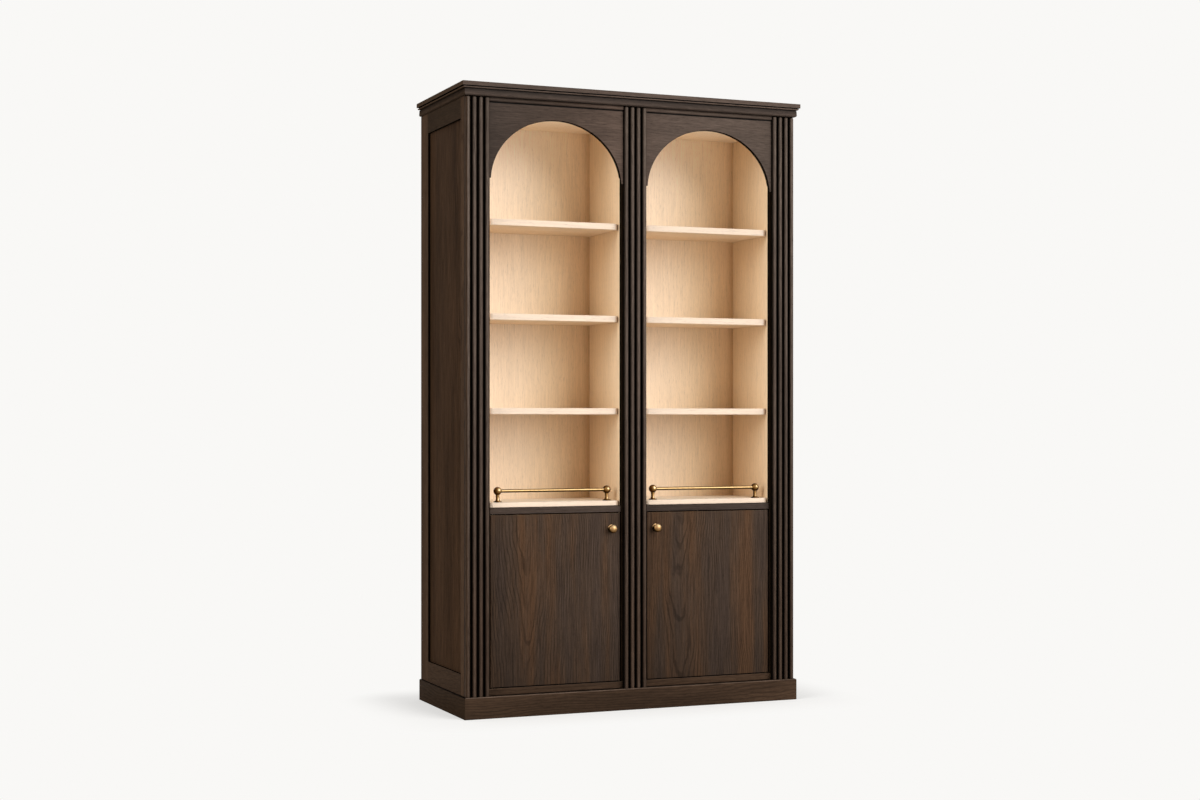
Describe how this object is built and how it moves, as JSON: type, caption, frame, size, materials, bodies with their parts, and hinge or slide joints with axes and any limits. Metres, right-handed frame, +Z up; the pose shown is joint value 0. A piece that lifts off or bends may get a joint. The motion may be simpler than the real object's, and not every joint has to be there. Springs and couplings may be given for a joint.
{
  "type": "arched bookcase",
  "caption": "Tall framed bookcase with arched bays, reeded pilasters, light interior shelves, gallery rails, and a cupboard with a hinged door under each bay.",
  "frame": {"origin": "on the floor, under the middle of the case", "axes": "+Z up, -Y towards the front, +X to the right of someone facing the doors"},
  "size_m": [1.431, 0.5896, 2.4],
  "materials": {
    "dark_oak": "dark stained oak, satin",
    "light_oak": "natural oak, matt",
    "aged_brass": "aged, brushed"
  },
  "bodies": {
    "carcass": {"arch_panel_left": "dark_oak", "arch_panel_right": "dark_oak", "cabinet_floor_left": "dark_oak", "cabinet_floor_right": "dark_oak", "ceiling_left": "light_oak", "ceiling_right": "light_oak", "cornice_front": "dark_oak", "cornice_left": "dark_oak", "cornice_right": "dark_oak", "header_bead_left": "dark_oak", "header_bead_right": "dark_oak", "inner_back_left": "light_oak", "inner_back_right": "light_oak", "left_bay_inner_wall": "light_oak", "left_bay_outer_wall": "light_oak", "left_counter": "light_oak", "left_gallery_left_post": "aged_brass", "left_gallery_right_post": "aged_brass", "left_gallery_rod": "aged_brass", "left_lower_hinge_frame_leaf": "aged_brass", "left_lower_shelf": "light_oak", "left_middle_shelf": "light_oak", "left_upper_hinge_frame_leaf": "aged_brass", "left_upper_shelf": "light_oak", "mid_rail_left": "dark_oak", "mid_rail_right": "dark_oak", "pilaster_centre": "dark_oak", "pilaster_left": "dark_oak", "pilaster_right": "dark_oak", "plinth_front": "dark_oak", "plinth_left": "dark_oak", "plinth_right": "dark_oak", "rear_panel": "dark_oak", "right_bay_inner_wall": "light_oak", "right_bay_outer_wall": "light_oak", "right_counter": "light_oak", "right_gallery_left_post": "aged_brass", "right_gallery_right_post": "aged_brass", "right_gallery_rod": "aged_brass", "right_lower_hinge_frame_leaf": "aged_brass", "right_lower_shelf": "light_oak", "right_middle_shelf": "light_oak", "right_upper_hinge_frame_leaf": "aged_brass", "right_upper_shelf": "light_oak", "side_frame_left": "dark_oak", "side_frame_right": "dark_oak", "side_panel_left": "dark_oak", "side_panel_right": "dark_oak", "stile_centre": "dark_oak", "stile_left": "dark_oak", "stile_right": "dark_oak", "top_board": "dark_oak"},
    "left_door": {"door_left": "dark_oak", "knob_left": "aged_brass", "left_upper_hinge_door_leaf": "aged_brass", "left_lower_hinge_door_leaf": "aged_brass"},
    "right_door": {"door_right": "dark_oak", "knob_right": "aged_brass", "right_upper_hinge_door_leaf": "aged_brass", "right_lower_hinge_door_leaf": "aged_brass"}
  },
  "joints": [
    {"name": "left_door_hinge", "type": "hinge", "parent": "carcass", "child": "left_door", "pos_m": [-0.5828, -0.24425, 0.43], "axis": [0, 0, -1], "range_deg": [0, 105]},
    {"name": "right_door_hinge", "type": "hinge", "parent": "carcass", "child": "right_door", "pos_m": [0.5828, -0.24425, 0.43], "axis": [0, 0, 1], "range_deg": [0, 105]}
  ]
}
